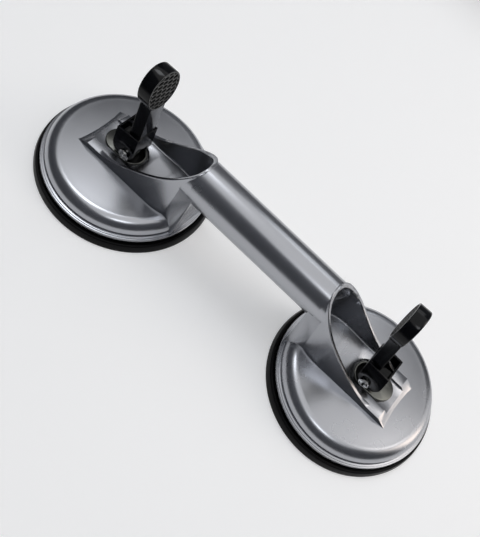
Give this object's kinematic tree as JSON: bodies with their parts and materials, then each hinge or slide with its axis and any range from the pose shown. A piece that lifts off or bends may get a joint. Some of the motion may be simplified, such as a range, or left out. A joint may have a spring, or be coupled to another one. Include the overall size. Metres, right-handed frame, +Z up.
{
  "type": "suction lifter",
  "caption": "Tile suction lifter: round cups under a one-piece cast body with a tube handle; black levers tilt outward on pins and draw the rubber pads up to grip.",
  "frame": {"origin": "on the floor under the handle, midway between the cup axes", "axes": "+X along the handle to the right cup, +Z up, -Y toward the side with the pin heads"},
  "size_m": [0.326, 0.12, 0.1006],
  "materials": {
    "cast_aluminium": "satin, fine blasted, lacquered silver",
    "pad_rubber": "matte black rubber",
    "lever_plastic": "satin black moulded plastic",
    "steel": "bright turned steel",
    "zinc_steel": "zinc plated",
    "wear_steel": "dull yellowish zinc plate",
    "spring_steel": "oiled spring wire",
    "bronze": "plain bronze"
  },
  "bodies": {
    "body_casting": {"housing": "cast_aluminium", "rubber_pad_left": "pad_rubber", "rubber_pad_right": "pad_rubber", "guide_bush_left": "bronze", "guide_bush_right": "bronze", "dust_seal_left": "pad_rubber", "dust_seal_right": "pad_rubber", "return_spring_left": "spring_steel", "return_spring_right": "spring_steel", "wear_plate_left": "wear_steel", "wear_plate_right": "wear_steel"},
    "draw_gear_left": {"draw_stud_left": "steel", "stud_nut_left": "zinc_steel", "pressure_disc_left": "zinc_steel", "pivot_pin_left": "steel", "pin_clip_left": "steel"},
    "tilt_lever_left": {"lever_left": "lever_plastic"},
    "draw_gear_right": {"draw_stud_right": "steel", "stud_nut_right": "zinc_steel", "pressure_disc_right": "zinc_steel", "pivot_pin_right": "steel", "pin_clip_right": "steel"},
    "tilt_lever_right": {"lever_right": "lever_plastic"}
  },
  "joints": [
    {"name": "pad_draw_left", "type": "slide", "parent": "body_casting", "child": "draw_gear_left", "axis": [0, 0, 1], "range_m": [0, 0.00585], "stiffness_N_per_m": 20, "springref_m": -0.002, "deforming": ["return_spring_left"]},
    {"name": "lever_tilt_left", "type": "hinge", "parent": "draw_gear_left", "child": "tilt_lever_left", "pos_m": [-0.103, 0, 0.0283], "axis": [0, -1, 0], "range_deg": [0, 88]},
    {"name": "pad_draw_right", "type": "slide", "parent": "body_casting", "child": "draw_gear_right", "axis": [0, 0, 1], "range_m": [0, 0.00585], "stiffness_N_per_m": 20, "springref_m": -0.002, "deforming": ["return_spring_right"]},
    {"name": "lever_tilt_right", "type": "hinge", "parent": "draw_gear_right", "child": "tilt_lever_right", "pos_m": [0.103, 0, 0.0283], "axis": [0, 1, 0], "range_deg": [0, 94]}
  ],
  "couplings": [
    {"joint": "pad_draw_left", "follows": "lever_tilt_left", "m_per_rad": 0.0038088},
    {"joint": "pad_draw_right", "follows": "lever_tilt_right", "m_per_rad": 0.0035657}
  ]
}
